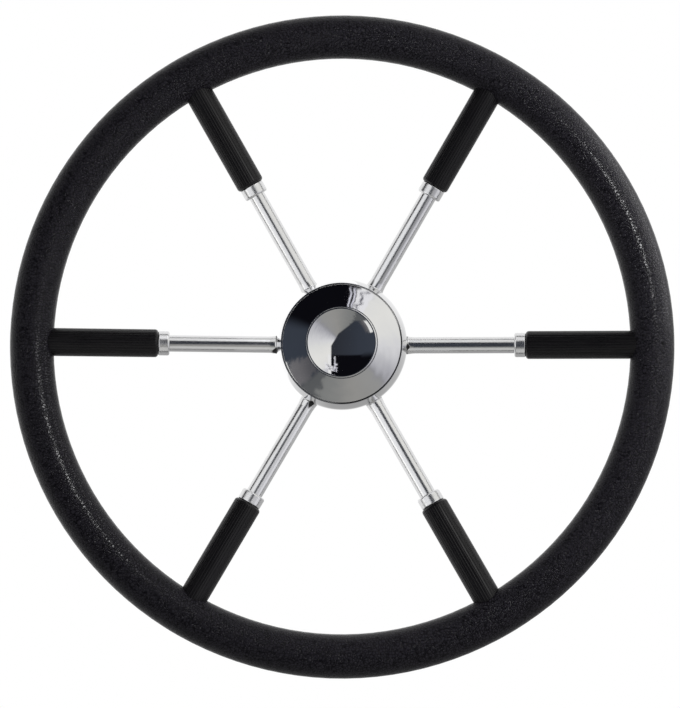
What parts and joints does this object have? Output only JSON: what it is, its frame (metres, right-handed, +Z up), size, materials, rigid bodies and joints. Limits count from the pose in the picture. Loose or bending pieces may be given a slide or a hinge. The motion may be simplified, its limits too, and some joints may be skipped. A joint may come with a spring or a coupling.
{
  "type": "boat steering wheel",
  "caption": "Dished boat steering wheel: polished stainless hub, cap and round spokes, ribbed black sleeves and a grained black grip; fits a tapered, keyed helm shaft.",
  "frame": {"origin": "middle of the large end of the shaft's taper, in the back face of the hub", "axes": "+Y along the shaft towards the helm, -Y towards the helmsman, +Z up with the keyway at the top, +X to the helmsman's right"},
  "size_m": [0.4, 0.051, 0.4],
  "materials": {
    "polished_steel": "mirror-polished stainless steel",
    "hoop_steel": "drawn stainless bar as welded",
    "grip": "moulded, matt, fine leather-like grain",
    "sleeve": "moulded, satin, ribbed",
    "ring_rubber": "smooth"
  },
  "bodies": {
    "root": {"rim_hoop": "hoop_steel", "rim_grip": "grip", "hub_body": "polished_steel", "hub_cap": "polished_steel", "cap_o_ring": "ring_rubber", "spoke_1": "polished_steel", "spoke_sleeve_1": "sleeve", "collar_1": "polished_steel", "spoke_2": "polished_steel", "spoke_sleeve_2": "sleeve", "collar_2": "polished_steel", "spoke_3": "polished_steel", "spoke_sleeve_3": "sleeve", "collar_3": "polished_steel", "spoke_4": "polished_steel", "spoke_sleeve_4": "sleeve", "collar_4": "polished_steel", "spoke_5": "polished_steel", "spoke_sleeve_5": "sleeve", "collar_5": "polished_steel", "spoke_6": "polished_steel", "spoke_sleeve_6": "sleeve", "collar_6": "polished_steel"}
  },
  "joints": []
}
